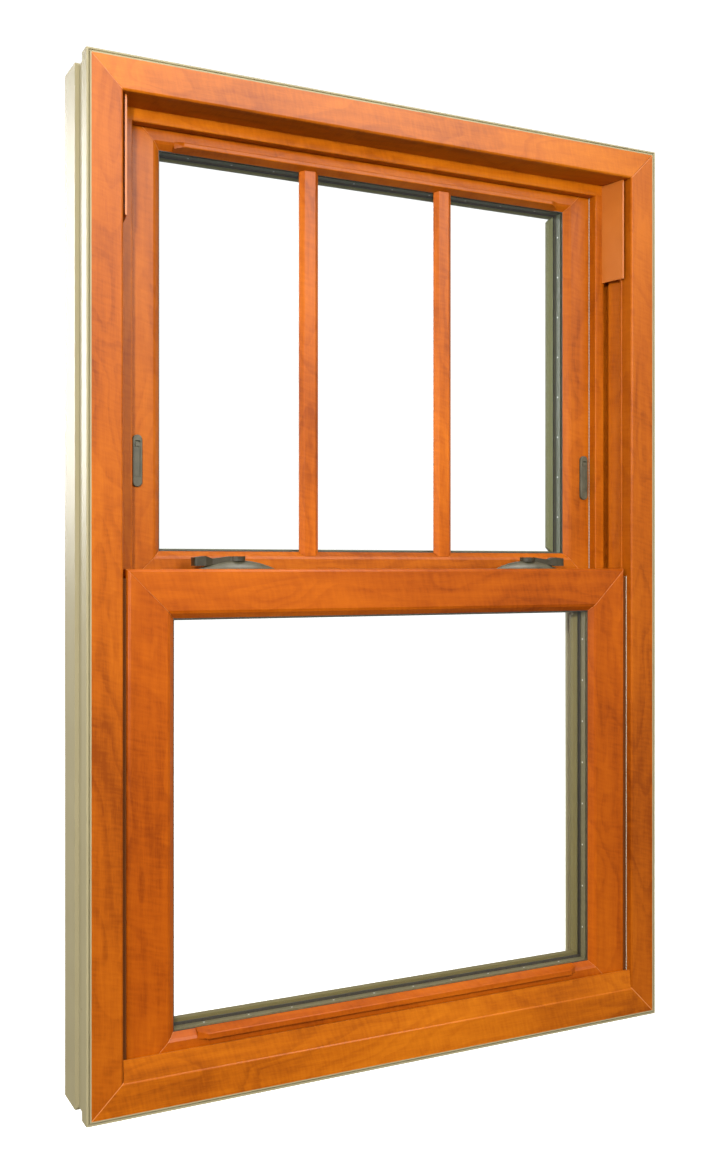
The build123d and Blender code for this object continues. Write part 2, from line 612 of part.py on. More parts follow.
# Vent latches on the upper sash's stiles: a plate with a pocket, and the slider in it
UPPER_FRONT = ROOM_FACE + UPPER_FACE
VENT_X = UPPER_HALF_WIDTH - UPPER_REBATE - VENT_FROM_EDGE
for side_name, side in (("left", -1), ("right", 1)):
    vent_plane = Plane(
        (side * VENT_X, UPPER_FRONT, UPPER_BOTTOM + VENT_RISE), x_dir=(1, 0, 0), z_dir=(0, -1, 0)
    )
    with BuildPart() as vent_latch_plate:
        with BuildSketch(vent_plane):
            SlotOverall(VENT_HEIGHT, VENT_WIDTH, rotation=90)
        extrude(amount=VENT_THICKNESS)
        fillet(vent_latch_plate.faces().sort_by(Axis.Y)[0].edges(), VENT_ROUND)
        with BuildSketch(vent_plane.offset(VENT_THICKNESS)):
            with Locations((0, VENT_POCKET_RISE)):
                Rectangle(VENT_POCKET_WIDTH, VENT_POCKET_HEIGHT)
        extrude(amount=-VENT_POCKET_DEPTH, mode=Mode.SUBTRACT)
    save(vent_latch_plate, f"{side_name}_vent_latch_plate")

    with BuildPart() as vent_latch_slider:
        slider_width = VENT_POCKET_WIDTH - 2 * VENT_SLIDER_CLEARANCE
        slider_height = VENT_POCKET_HEIGHT - VENT_SLIDER_TRAVEL - VENT_SLIDER_CLEARANCE
        slider_middle = VENT_POCKET_RISE + (VENT_SLIDER_CLEARANCE - VENT_SLIDER_TRAVEL) / 2
        grip_middle = slider_middle + (slider_height - VENT_GRIP_HEIGHT) / 2
        with BuildSketch(vent_plane.offset(VENT_THICKNESS - VENT_POCKET_DEPTH)):
            with Locations((0, slider_middle)):
                Rectangle(slider_width, slider_height)
        extrude(amount=VENT_POCKET_DEPTH - VENT_SLIDER_SETBACK)
        with BuildSketch(vent_plane.offset(VENT_THICKNESS - VENT_SLIDER_SETBACK)):
            with Locations((0, grip_middle)):
                Rectangle(slider_width, VENT_GRIP_HEIGHT)
        extrude(amount=VENT_SLIDER_SETBACK + VENT_GRIP_PROUD, taper=KEEPER_TAPER)
    save(vent_latch_slider, f"{side_name}_vent_latch_slider")

# Sash locks on the lower sash's top rail: a low dome with pointed ends, and a lever that droops past it
LOCK_X = LOWER_HALF_WIDTH - LOCK_FROM_EDGE
LOCK_Y = ROOM_FACE + LOWER_FACE + SASH_THICKNESS - LOCK_FROM_BACK


def lock_dome(lock_x, gap, mode):
    """Upright arc on the sash's top turned about its own base line"""
    base = (lock_x, LOCK_Y, LOWER_TOP)
    reach = LOCK_LENGTH / 2 + gap
    with BuildSketch(Plane(base, x_dir=(1, 0, 0), z_dir=(0, -1, 0))) as section:
        with BuildLine():
            ThreePointArc((-reach, 0), (0, LOCK_HEIGHT + gap), (reach, 0))
            Line((reach, 0), (-reach, 0))
        make_face()
    revolve(section.sketch, axis=Axis(base, (1, 0, 0)), mode=mode)


LEVER_SIDE = [
    (-LEVER_HUB_RADIUS, LEVER_HUB_LOW),
    (-LEVER_HUB_RADIUS, LEVER_HUB_TOP),
    (LEVER_HUB_RADIUS, LEVER_HUB_TOP),
    (LEVER_ARM_REACH, LEVER_ARM_TOP),
    (LEVER_THUMB_START, LEVER_THUMB_TOP),
    (LEVER_REACH, LEVER_TIP_TOP),
    (LEVER_REACH, LEVER_THUMB_LOW),
    (LEVER_THUMB_START, LEVER_THUMB_LOW),
    (LEVER_HUB_RADIUS, LEVER_HUB_LOW),
]
LEVER_PLAN = [
    (0, LEVER_HUB_RADIUS),
    (LEVER_HUB_RADIUS, LEVER_NECK / 2),
    (LEVER_ARM_REACH, LEVER_NECK / 2),
    (LEVER_THUMB_START, LEVER_THUMB_WIDTH / 2),
    (LEVER_REACH, LEVER_THUMB_WIDTH / 2),
    (LEVER_REACH, -LEVER_THUMB_WIDTH / 2),
    (LEVER_THUMB_START, -LEVER_THUMB_WIDTH / 2),
    (LEVER_ARM_REACH, -LEVER_NECK / 2),
    (LEVER_HUB_RADIUS, -LEVER_NECK / 2),
    (0, -LEVER_HUB_RADIUS),
]
LEVER_TIPS = ((LEVER_REACH, LEVER_THUMB_WIDTH / 2), (LEVER_REACH, -LEVER_THUMB_WIDTH / 2))

for side_name, side in (("left", -1), ("right", 1)):
    lock_x = side * LOCK_X
    with BuildPart() as lock_base:
        lock_dome(lock_x, 0, Mode.ADD)
        split(bisect_by=Plane((lock_x, LOCK_Y, LOWER_TOP)), keep=Keep.TOP)
    save(lock_base, f"{side_name}_lock_base")

    with BuildPart() as lock_lever:
        plan = [(side * along, across) for along, across in LEVER_PLAN]
        tips = [((side * along, across), LEVER_TIP_ROUND) for along, across in LEVER_TIPS]
        with BuildSketch(Plane((lock_x, LOCK_Y, LOWER_TOP))):
            Circle(LEVER_HUB_RADIUS)
            add(rounded_section(plan, tips))
        extrude(amount=LEVER_THUMB_TOP)
        with BuildSketch(Plane((lock_x, LOCK_Y, LOWER_TOP), x_dir=(1, 0, 0), z_dir=(0, -1, 0))):
            with BuildLine():
                Polyline(*[(side * along, height) for along, height in LEVER_SIDE], close=True)
            make_face()
        extrude(amount=LEVER_THUMB_WIDTH, both=True, mode=Mode.INTERSECT)
        lock_dome(lock_x, LEVER_SEAT_GAP, Mode.SUBTRACT)
    save(lock_lever, f"{side_name}_lock_lever")

    with BuildPart() as lock_keeper:
        keeper_level = LOWER_TOP + KEEPER_ABOVE_LOWER_SASH
        with BuildSketch(Plane((lock_x, UPPER_FRONT, keeper_level), x_dir=(1, 0, 0), z_dir=(0, -1, 0))):
            with Locations((0, KEEPER_HEIGHT / 2)):
                RectangleRounded(KEEPER_LENGTH, KEEPER_HEIGHT, KEEPER_ROUND)
        extrude(amount=KEEPER_PROJECTION, taper=KEEPER_TAPER)
    save(lock_keeper, f"{side_name}_lock_keeper")

# Pile weatherstrips: on the lower stiles' edges, and between the parting stops and the upper sash
LOWER_PILE_FRONT = LOWER_FACE + LOWER_PILE_SETBACK
PILES = (
    (
        "lower",
        FACE + LOWER_PILE_CLEARANCE,
        LOWER_SIDE_INSET,
        LOWER_PILE_FRONT,
        LOWER_PILE_FRONT + LOWER_PILE_DEPTH,
        LOWER_BOTTOM + LOWER_PILE_RISE,
        LOWER_TOP - LOWER_PILE_DROP,
    ),
    (
        "upper",
        PARTING_EDGE - UPPER_PILE_SETBACK - UPPER_PILE_WIDTH,
        PARTING_EDGE - UPPER_PILE_SETBACK,
        PARTING_BACK,
        UPPER_FACE - UPPER_PILE_CLEARANCE,
        UPPER_BOTTOM + UPPER_PILE_RISE,
        HEIGHT - FACE - HEAD_PARTING_DROP,
    ),
)
for sash_name, near_inset, far_inset, front, back, low, high in PILES:
    with BuildPart() as sash_pile:
        with BuildSketch(upright_plane(low)):
            for side in (-1, 1):
                strip_middle = HALF_WIDTH - (near_inset + far_inset) / 2
                with Locations((side * strip_middle, (front + back) / 2)):
                    Rectangle(far_inset - near_inset, back - front)
        extrude(amount=high - low)
    save(sash_pile, f"{sash_name}_sash_pile")
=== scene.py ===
import math

import bmesh
import bpy
from mathutils import Matrix, Vector


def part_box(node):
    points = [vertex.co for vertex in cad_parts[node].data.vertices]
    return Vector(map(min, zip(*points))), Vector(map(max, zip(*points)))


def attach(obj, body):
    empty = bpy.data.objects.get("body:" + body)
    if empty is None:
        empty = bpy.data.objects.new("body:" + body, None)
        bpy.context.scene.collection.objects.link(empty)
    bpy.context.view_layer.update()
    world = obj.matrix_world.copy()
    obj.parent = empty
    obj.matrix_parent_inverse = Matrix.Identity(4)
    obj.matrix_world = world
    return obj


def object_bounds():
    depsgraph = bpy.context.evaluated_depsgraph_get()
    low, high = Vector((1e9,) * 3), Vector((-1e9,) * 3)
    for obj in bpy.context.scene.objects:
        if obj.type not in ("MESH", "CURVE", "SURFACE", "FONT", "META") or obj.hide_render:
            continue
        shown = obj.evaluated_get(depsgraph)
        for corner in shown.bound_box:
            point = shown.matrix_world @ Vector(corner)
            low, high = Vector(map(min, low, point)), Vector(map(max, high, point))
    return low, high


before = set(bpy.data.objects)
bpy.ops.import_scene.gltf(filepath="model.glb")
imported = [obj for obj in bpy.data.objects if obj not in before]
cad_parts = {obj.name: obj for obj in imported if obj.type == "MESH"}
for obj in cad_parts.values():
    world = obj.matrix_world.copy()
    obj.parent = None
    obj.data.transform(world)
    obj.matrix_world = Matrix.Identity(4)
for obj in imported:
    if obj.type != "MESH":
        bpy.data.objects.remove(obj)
cad_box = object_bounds()

MM = 0.001
BODY = "root"
SASHES = ("upper", "lower")

# Height of the photograph in pixels, and the camera that took it
IMAGE_HEIGHT = 1170
FOCAL_PIXELS = 1265.9
HORIZON_ROW = 566.5
SENSOR_HEIGHT = 24.0
CAMERA_YAW = math.radians(26.8)
CAMERA_PLACE = Vector((-0.5796, cad_box[0][1] - 1.0588, 0.4744))

# Limits of the window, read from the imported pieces, in millimetres
ROOM_FACE = cad_box[0][1] / MM
HALF_WIDTH = cad_box[1][0] / MM
HEIGHT = cad_box[1][2] / MM

# Axes that the printed grain runs along
LEVEL = 0
UPRIGHT = 2

# Colours, linear
CHERRY_DARK = (0.205, 0.037, 0.0010)
CHERRY = (0.33, 0.069, 0.0018)
CHERRY_LIGHT = (0.43, 0.103, 0.0034)
CHERRY_WELD = (0.60, 0.21, 0.06)
ALMOND = (0.305, 0.262, 0.146)
ALMOND_SHADE = (0.289, 0.247, 0.136)
# Painted shade: the almond vinyl of each sash's outdoor bead, seen through the glass, painted dark olive
BEAD_SHADE_COLOURS = {"upper": (0.115, 0.112, 0.043), "lower": (0.15, 0.118, 0.042)}
SPACER_COLOURS = {"upper": (0.06, 0.068, 0.028), "lower": (0.155, 0.128, 0.055)}
SPACER_HOLE = (0.75, 0.76, 0.70)
GLASS_TINT = (0.992, 0.997, 0.994)
RUBBER_DARK = (0.012, 0.008, 0.003)
RUBBER_LIGHT = (0.030, 0.021, 0.008)
COVER_DARK = (0.41, 0.113, 0.014)
COVER_LIGHT = (0.455, 0.130, 0.018)
BRONZE_DARK = (0.048, 0.043, 0.023)
BRONZE_LIGHT = (0.078, 0.070, 0.040)
LEVER_DARK = (0.018, 0.014, 0.005)
LEVER_LIGHT = (0.036, 0.029, 0.012)
TUFT_SHADE = (0.16, 0.12, 0.07)
TUFT_WHITE = (0.56, 0.50, 0.39)
# Painted shade on the lower pile, by the stile
PILE_PAINTED_SHADE = (0.10, 0.028, 0.005)
FLOOR_COLOUR = (0.93, 0.93, 0.92)
WHITE = (1, 1, 1)

# How the print differs from piece to piece, as factors of the cherry colours
LEVEL_FRAME_TINT = (1.14, 1.30, 1.1)
UPRIGHT_FRAME_TINT = (0.98, 1.02, 1.0)
SASH_TINTS = {"upper": (1.02, 1.08, 1.1), "lower": (0.93, 0.84, 0.5)}
BAR_TINT = (1.16, 1.18, 1.1)

# Tone of the figure at which each cherry colour is full
CHERRY_STOPS = ((0.40, CHERRY_DARK), (0.56, CHERRY), (0.74, CHERRY_LIGHT))

# Sizes of the cherry figure across the grain, in depth and along the grain, in millimetres
CLOUD_SIZE = (75.0, 75.0, 230.0)
FIGURE_SIZE = (42.0, 60.0, 120.0)
STREAK_SIZE = (7.0, 11.0, 150.0)
RIPPLE_SIZE = (14.0, 14.0, 2.6)
PORE_SIZE = (0.8, 0.8, 9.0)

# Share of each layer of the figure in the tone of the print, and in its relief
CLOUD_SHARE = 0.50
STREAK_SHARE = 0.26
FIGURE_SHARE = 0.12
RIPPLE_SHARE = 0.16
PORE_SHARE = 0.12
ARC_SHARE = 0.06
PORE_RELIEF = 0.5
STREAK_RELIEF = 0.3

# Arcs of the figure: how many there are, and over which part of each its line rises and falls
ARC_COUNT = 8.0
ARC_RISE = (0.0, 0.12)
ARC_FALL = (0.15, 0.7)

# How the ripple leans across the grain and how far it follows the figure
RIPPLE_SLANT = 0.25
RIPPLE_WAVE = 10.0

# Noise values between which a mottled finish goes from its dark tone to its light one
MOTTLE_LOW = 0.3
MOTTLE_HIGH = 0.7

# Height of the relief on smooth finishes and on the pile
FINE_RELIEF = 0.2 * MM
PILE_RELIEF = 0.6 * MM

# Laminate on the frame, in millimetres: bare edge round it, depth, and the face that the mitres cross
BARE_EDGE = 4.2
LAMINATE_DEPTH = 49.0
LAMINATE_FADE = 0.2
FRAME_FACE = 32.0
FRAME_FACE_FADE = 0.1
FRAME_WELD_HALF = 0.55
FRAME_WELD_FADE = 0.35

# Laminate on a sash, in millimetres: depth of its face, width of its outer band, bare strip at the back
SASH_FACE_DEPTH = 7.6
SASH_BAND_WIDTH = 25.0
SASH_BARE_BACK = 1.0
SASH_WELD_HALF = 0.325
SASH_WELD_FADE = 0.225

# Painted shade on a sash's outdoor bead, in millimetres: starts before the glass's back and ends before the
# sash's
BEAD_START = 1.5
BEAD_START_FADE = 0.5
BEAD_END = 0.4

# How much a weld lightens the print and sinks, and how much the bare vinyl's relief counts
WELD_PALENESS = 0.75
WELD_SINK = 1.2
VINYL_RELIEF = 0.3

# Roughness of the bare vinyl, how much smoother the laminate is, and what its grain adds
VINYL_ROUGHNESS = 0.46
LAMINATE_SMOOTHING = 0.12
GRAIN_ROUGHENING = 0.06

# Roughness of the bronze paint, and what its mottle adds
BRONZE_ROUGHNESS = 0.36
BRONZE_ROUGHENING = 0.12

# Breather holes of the spacers, in millimetres, and how dark the spacers' darker tone is
HOLE_PITCH = 43.0
HOLE_SHIFT = 10.0
HOLE_HALF = 0.7
HOLE_FADE = 0.2
SPACER_SHADE = 0.75

# Tufts of the piles: share of the fibres and of the rows in them, and the tones from shade to white
FIBRE_SHARE = 0.6
ROW_SHARE = 0.4
TUFT_STOPS = ((0.30, TUFT_SHADE), (0.55, TUFT_WHITE))

# Pitch of the rows of tufts and the places where the piles change, from the middle, in millimetres: where
# the lower pile's painted shade gives way to white, and where the upper pile ends
TUFT_PITCH = 1.6
LOWER_PILE_SHADE_EDGE = 271.8
PILE_SHADE_FADE = 0.1
UPPER_PILE_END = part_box("upper_sash_pile")[1][0] / MM

# Rounding of the edges of extrusions and strips
FRAME_ROUND = 0.6 * MM
SASH_ROUND = 0.5 * MM
STRIP_ROUND = 0.6 * MM

# Corners nearer than this are joined, faces flatter are made one, and edges sharper are rounded
JOIN_GAP = 0.01 * MM
FLAT_ANGLE = math.radians(1)
EDGE_ANGLE = math.radians(35)

# How far the panes reach into a sash, and the air between a pane and the seals on it
GLASS_BITE = 7.0 * MM
SEAL_GAP = 0.02 * MM

# Glazing seals: how far they tuck behind the sight line, show past it and stand off the pane
GASKET_TUCK = 1.0 * MM
ROOM_GASKET_SHOW = 0.15 * MM
ROOM_GASKET_DEPTH = 0.6 * MM
OUTDOOR_GASKET_SHOW = 0.8 * MM
OUTDOOR_GASKET_DEPTH = 0.9 * MM
SEAL_TUCK = 2.0 * MM
SEAL_SHOW = {"upper": 1.1 * MM, "lower": 1.7 * MM}
SEAL_DEPTH = 1.3 * MM

# How far the edge seal sits above the pane's middle
SEAL_RISE = {"upper": 0.0, "lower": 1.3 * MM}

# Nose that turns down from the front edge of the lower lift lip
NOSE_REACH = 197.0 * MM
NOSE_DEPTH = 2.6 * MM
NOSE_LOW = 56.4 * MM
NOSE_HIGH = 59.0 * MM

# Outdoor bead that stands up behind the lower glass, past the sight line
BEAD_RISE = 5.0 * MM
BEAD_ROOT = 1.0 * MM
BEAD_END_GAP = 1.0 * MM
BEAD_GLASS_GAP = 1.0 * MM
BEAD_SET_BACK = 0.2 * MM

# Studio floor, and how strong the white air is: to the eye, and as light from below and from above
FLOOR_HALF = 60.0
FLOOR_SHADE = 0.98
FLOOR_GLOW = 0.6
AIR_SEEN = 1.12
AIR_BELOW = 0.22
AIR_ABOVE = 0.65

# Slopes of direction between which the air's light goes from below to above
SLOPE_LOW = -0.30
SLOPE_HIGH = -0.03

# Soft boxes: name, place, what they point at, width in metres and watts
SOFT_BOXES = (
    ("key_light", (-0.92, -1.32, 0.91), (0, 0, 0.5), 0.08, 20),
    ("fill_light", (0.15, -1.7, 0.85), (0, 0, 0.6), 0.5, 19),
    ("side_light", (-2.2, -0.8, 0.8), (0, 0, 0.5), 1.0, 22),
    ("overhead_light", (0.3, -0.35, 2.4), (0, -0.05, 0), 1.2, 26),
    ("back_light", (-0.9, 2.6, 1.2), (0, 0, 0.5), 1.2, 70),
    ("sheen_light", (0.8, -2.1, 1.95), (0, 0, 0.8), 1.4, 125),
)


class Socket:
    """A shader value that can be used in Python arithmetic"""

    def __init__(self, nodes, output):
        self.nodes = nodes
        self.output = output

    def math(self, operation, *values):
        return self.nodes.add("ShaderNodeMath", {"operation": operation}, *values)

    def __add__(self, other):
        return self.math("ADD", self, other)

    def __sub__(self, other):
        return self.math("SUBTRACT", self, other)

    def __rsub__(self, other):
        return self.math("SUBTRACT", other, self)

    def __mul__(self, other):
        return self.math("MULTIPLY", self, other)

    def __truediv__(self, other):
        return self.math("DIVIDE", self, other)

    def __rtruediv__(self, other):
        return self.math("DIVIDE", other, self)

    __radd__ = __add__
    __rmul__ = __mul__

    def __abs__(self):
        return self.math("ABSOLUTE", self)

    def lesser(self, other):
        return self.math("MINIMUM", self, other)

    def greater(self, other):
        return self.math("MAXIMUM", self, other)

    def fraction(self):
        return self.math("FRACT", self)

    def step(self, low, high):
        """0 below low, 1 above high and smooth between"""
        settings = {"interpolation_type": "SMOOTHSTEP"}
        return self.nodes.add("ShaderNodeMapRange", settings, self, low, high, 0.0, 1.0)

    def past(self, limit, fade):
        """0 before a limit and 1 past it, with a fade on either side"""
        return self.step(limit - fade, limit + fade)

    def beside(self, pitch):
        """Distance from the nearest of a row of places that lie a pitch apart"""
        return abs((self / pitch).fraction() - 0.5) * pitch


class Nodes:
    """A node tree under construction"""

    def __init__(self, tree):
        self.tree = tree

    def add(self, kind, settings, *values, out=0, **named):
        """New node of a kind: its settings first, then its sockets by order, None to skip one, or by name"""
        node = self.tree.nodes.new(kind)
        for key, value in settings.items():
            if key == "stops":
                self.set_stops(node.color_ramp, value)
            else:
                setattr(node, key, value)
        for place, value in enumerate(values):
            if value is not None:
                self.feed(node.inputs[place], value)
        for key, value in named.items():
            self.feed(node.inputs[key.replace("_", " ")], value)
        return Socket(self, node.outputs[out])

    def set_stops(self, ramp, stops):
        while len(ramp.elements) < len(stops):
            ramp.elements.new(0.5)
        for element, (place, colour) in zip(ramp.elements, stops):
            element.position = place
            element.color = (*colour, 1)

    def feed(self, inlet, value):
        """Link or set one socket; a colour gets its fourth part here"""
        if isinstance(value, Socket):
            self.tree.links.new(value.output, inlet)
        elif isinstance(value, tuple) and len(value) == 3 and inlet.type == "RGBA":
            inlet.default_value = (*value, 1)
        else:
            inlet.default_value = value

    def split(self, vector):
        """The three parts of a vector"""
        first = self.add("ShaderNodeSeparateXYZ", {}, vector)
        return [Socket(self, output) for output in first.output.node.outputs]


class Finish(Nodes):
    """A node material under construction"""

    def __init__(self, name):
        self.material = bpy.data.materials.new(name)
        self.material.use_nodes = True
        super().__init__(self.material.node_tree)
        self.shader = self.tree.nodes["Principled BSDF"]
        self.end = self.tree.nodes["Material Output"]

    def place_mm(self):
        """Object coordinates in millimetres"""
        coords = self.add("ShaderNodeTexCoord", {}, out="Object")
        return self.add("ShaderNodeVectorMath", {"operation": "SCALE"}, coords, Scale=1 / MM)

    def vector(self, x, y, z):
        return self.add("ShaderNodeCombineXYZ", {}, x, y, z)

    def noise(self, vector, scale, detail, roughness=0.5, distortion=0.0):
        return self.add(
            "ShaderNodeTexNoise", {}, Vector=vector, Scale=scale, Detail=detail, Roughness=roughness,
            Distortion=distortion,
        )

    def ramp(self, value, *stops):
        return self.add("ShaderNodeValToRGB", {"stops": stops}, value)

    def mottled(self, vector, dark, light, scale, detail):
        """Noise over a surface, and the colour that it gives between two tones"""
        mottle = self.noise(vector, scale, detail)
        return mottle, self.ramp(mottle, (MOTTLE_LOW, dark), (MOTTLE_HIGH, light))

    def blend(self, factor, first, second):
        """Colour between two colours, whose sockets come after five for plain values"""
        skipped = [None] * 5
        return self.add("ShaderNodeMix", {"data_type": "RGBA"}, factor, *skipped, first, second, out=2)

    def bump(self, height, strength, distance):
        return self.add("ShaderNodeBump", {}, Strength=strength, Distance=distance, Height=height)

    def set(self, **sockets):
        """Feed the surface shader and hand back the finished material"""
        for key, value in sockets.items():
            self.feed(self.shader.inputs[key.replace("_", " ")], value)
        return self.material


def tinted(colour, factors):
    """Colour with its three parts multiplied by three factors"""
    return tuple(part * factor for part, factor in zip(colour, factors))


def cherry_grain(finish, parts, along, tint):
    """Cherry figure printed on the laminate: soft arcs, long streaks, a cross ripple and fine pores"""
    crosswise = parts[UPRIGHT if along == LEVEL else LEVEL]
    depthwise = parts[1]
    lengthwise = parts[along]

    def layer(size, length, **noise_settings):
        place = finish.vector(crosswise / size[0], depthwise / size[1], length / size[2])
        return finish.noise(place, 1.0, **noise_settings)

    clouds = layer(CLOUD_SIZE, lengthwise, detail=2.0, roughness=0.55)
    figure = layer(FIGURE_SIZE, lengthwise, detail=1.5, roughness=0.4, distortion=0.4)
    arcs = (figure * ARC_COUNT).fraction()
    arc_lines = arcs.step(*ARC_RISE) * (1 - arcs.step(*ARC_FALL))
    streaks = layer(STREAK_SIZE, lengthwise, detail=3.0, roughness=0.55)
    slant = lengthwise + crosswise * RIPPLE_SLANT + figure * RIPPLE_WAVE
    ripple = layer(RIPPLE_SIZE, slant, detail=1.0)
    pores = layer(PORE_SIZE, lengthwise, detail=1.0)
    tone = (
        clouds * CLOUD_SHARE + streaks * STREAK_SHARE + figure * FIGURE_SHARE
        + ripple * RIPPLE_SHARE + pores * PORE_SHARE - arc_lines * ARC_SHARE
    )
    stops = [(place, tinted(colour, tint)) for place, colour in CHERRY_STOPS]
    height = pores * PORE_RELIEF + streaks * STREAK_RELIEF
    return finish.ramp(tone, *stops), height


def almond_vinyl(finish, vector):
    """Extruded almond vinyl, faintly mottled"""
    mottle = finish.noise(vector, scale=0.02, detail=3.0)
    colour = finish.blend(mottle.step(MOTTLE_LOW, MOTTLE_HIGH), ALMOND_SHADE, ALMOND)
    drawn = finish.noise(vector, scale=1.6, detail=1.0)
    return colour, drawn


def laminated_member(name, along, tint, laminate_mask, weld_mask=None, bead_shade_mask=None, bead_shade_colour=None):
    """Vinyl member with a wood-grain room side; the masks are made by the given functions"""
    finish = Finish(name)
    vector = finish.place_mm()
    parts = finish.split(vector)
    wood, wood_height = cherry_grain(finish, parts, along, tint)
    vinyl, vinyl_height = almond_vinyl(finish, vector)
    laminate = laminate_mask(parts)
    height = wood_height * laminate + vinyl_height * (1 - laminate) * VINYL_RELIEF
    if weld_mask:
        weld = weld_mask(parts) * laminate
        wood = finish.blend(weld * WELD_PALENESS, wood, CHERRY_WELD)
        height = height - weld * WELD_SINK
    # Painted shade: the bead behind the glass is painted dark olive instead of almond
    if bead_shade_mask:
        vinyl = finish.blend(bead_shade_mask(parts), vinyl, bead_shade_colour)
    return finish.set(
        Base_Color=finish.blend(laminate, vinyl, wood),
        Roughness=VINYL_ROUGHNESS - laminate * LAMINATE_SMOOTHING + wood_height * GRAIN_ROUGHENING,
        Specular_IOR_Level=0.11,
        Normal=finish.bump(height, strength=0.25, distance=FINE_RELIEF),
    )


def edge_distances(parts, half_width, low, high):
    """Distances from the nearer side and from the nearer end of the frame or a sash"""
    x, y, z = parts
    return half_width - abs(x), (z - low).lesser(high - z)


def frame_laminate(parts):
    """Room side of the frame, inside its bare edge"""
    side, end = edge_distances(parts, HALF_WIDTH, 0.0, HEIGHT)
    depth = parts[1] - ROOM_FACE
    inside = side.lesser(end).past(BARE_EDGE, LAMINATE_FADE)
    return inside * (1 - depth.past(LAMINATE_DEPTH, LAMINATE_FADE))


def frame_weld(parts):
    """Mitre lines across the frame's face"""
    side, end = edge_distances(parts, HALF_WIDTH, 0.0, HEIGHT)
    line = 1 - abs(side - end).past(FRAME_WELD_HALF, FRAME_WELD_FADE)
    return line * (1 - end.past(FRAME_FACE, FRAME_FACE_FADE))


def sash_masks(sash):
    """Functions that make the laminate, weld and bead masks of a sash, placed by its own box; the bead mask
    places painted shade
    """
    low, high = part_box(f"{sash}_sash_left_stile")
    face = low[1] / MM
    back = high[1] / MM
    glass_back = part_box(f"{sash}_outer_glass")[1][1] / MM

    def sash_edges(parts):
        return edge_distances(parts, -low[0] / MM, low[2] / MM, high[2] / MM)

    def laminate(parts):
        side, end = sash_edges(parts)
        room_side = 1 - (parts[1] - face).past(SASH_FACE_DEPTH, LAMINATE_FADE)
        outer_band = 1 - side.lesser(end).past(SASH_BAND_WIDTH, LAMINATE_FADE)
        before_back = 1 - (parts[1] - back).past(-SASH_BARE_BACK, LAMINATE_FADE)
        return room_side.greater(outer_band * before_back)

    def weld(parts):
        side, end = sash_edges(parts)
        return 1 - abs(side - end).past(SASH_WELD_HALF, SASH_WELD_FADE)

    # Where painted shade darkens the bead's vinyl behind the glass
    def bead(parts):
        behind_glass = (parts[1] - glass_back).past(-BEAD_START, BEAD_START_FADE)
        return behind_glass * (1 - (parts[1] - back).past(-BEAD_END, LAMINATE_FADE))

    return laminate, weld, bead


def clear_glass():
    """Thin clear pane that mirrors at a low angle, and only where a ray enters it"""
    finish = Finish("clear_glass")
    gloss = finish.add("ShaderNodeBsdfGlossy", {}, Color=WHITE, Roughness=0.02)
    clear = finish.add("ShaderNodeBsdfTransparent", {}, Color=GLASS_TINT)
    edge = finish.add("ShaderNodeFresnel", {}, IOR=1.42)
    entering = 1 - finish.add("ShaderNodeNewGeometry", {}, out="Backfacing")
    mixed = finish.add("ShaderNodeMixShader", {}, edge * entering, clear, gloss)
    finish.feed(finish.end.inputs["Surface"], mixed)
    return finish.material


def spacer_metal(sash):
    """Dull spacer with a row of tiny breather holes that catch the light"""
    finish = Finish(f"{sash}_spacer_metal")
    vector = finish.place_mm()
    x, y, z = finish.split(vector)
    light = SPACER_COLOURS[sash]
    dark = tinted(light, [SPACER_SHADE] * 3)
    mottle, metal = finish.mottled(vector, dark, light, scale=0.4, detail=2.0)
    low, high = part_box(f"{sash}_glass_spacer")
    off_middle = abs(y - (low[1] + high[1]) / 2 / MM)
    along_row = x.beside(HOLE_PITCH).lesser((z + HOLE_SHIFT).beside(HOLE_PITCH))
    near_hole = off_middle.greater(along_row)
    holes = 1 - near_hole.past(HOLE_HALF, HOLE_FADE)
    return finish.set(Base_Color=finish.blend(holes, metal, SPACER_HOLE), Roughness=0.5)


def dark_rubber():
    """Dull dark rubber of the glazing seals"""
    finish = Finish("glazing_rubber")
    vector = finish.place_mm()
    mottle, colour = finish.mottled(vector, RUBBER_DARK, RUBBER_LIGHT, scale=0.6, detail=3.0)
    return finish.set(
        Base_Color=colour, Roughness=0.6, Normal=finish.bump(mottle, strength=0.2, distance=FINE_RELIEF)
    )


def cover_plastic():
    """Satin moulded plastic of the jamb covers"""
    finish = Finish("cover_plastic")
    vector = finish.place_mm()
    mottle, colour = finish.mottled(vector, COVER_DARK, COVER_LIGHT, scale=0.03, detail=2.0)
    texture = finish.noise(vector, scale=1.6, detail=2.0)
    return finish.set(
        Base_Color=colour,
        Roughness=0.42,
        Specular_IOR_Level=0.3,
        Normal=finish.bump(texture, strength=0.1, distance=FINE_RELIEF),
    )


def bronze_paint(name, dark, light):
    """Satin dark bronze paint on cast hardware, mottled between two tones"""
    finish = Finish(name)
    vector = finish.place_mm()
    mottle, colour = finish.mottled(vector, dark, light, scale=0.12, detail=4.0)
    texture = finish.noise(vector, scale=2.2, detail=2.0)
    return finish.set(
        Base_Color=colour,
        Roughness=BRONZE_ROUGHNESS + mottle * BRONZE_ROUGHENING,
        Specular_IOR_Level=0.3,
        Normal=finish.bump(texture, strength=0.12, distance=FINE_RELIEF),
    )


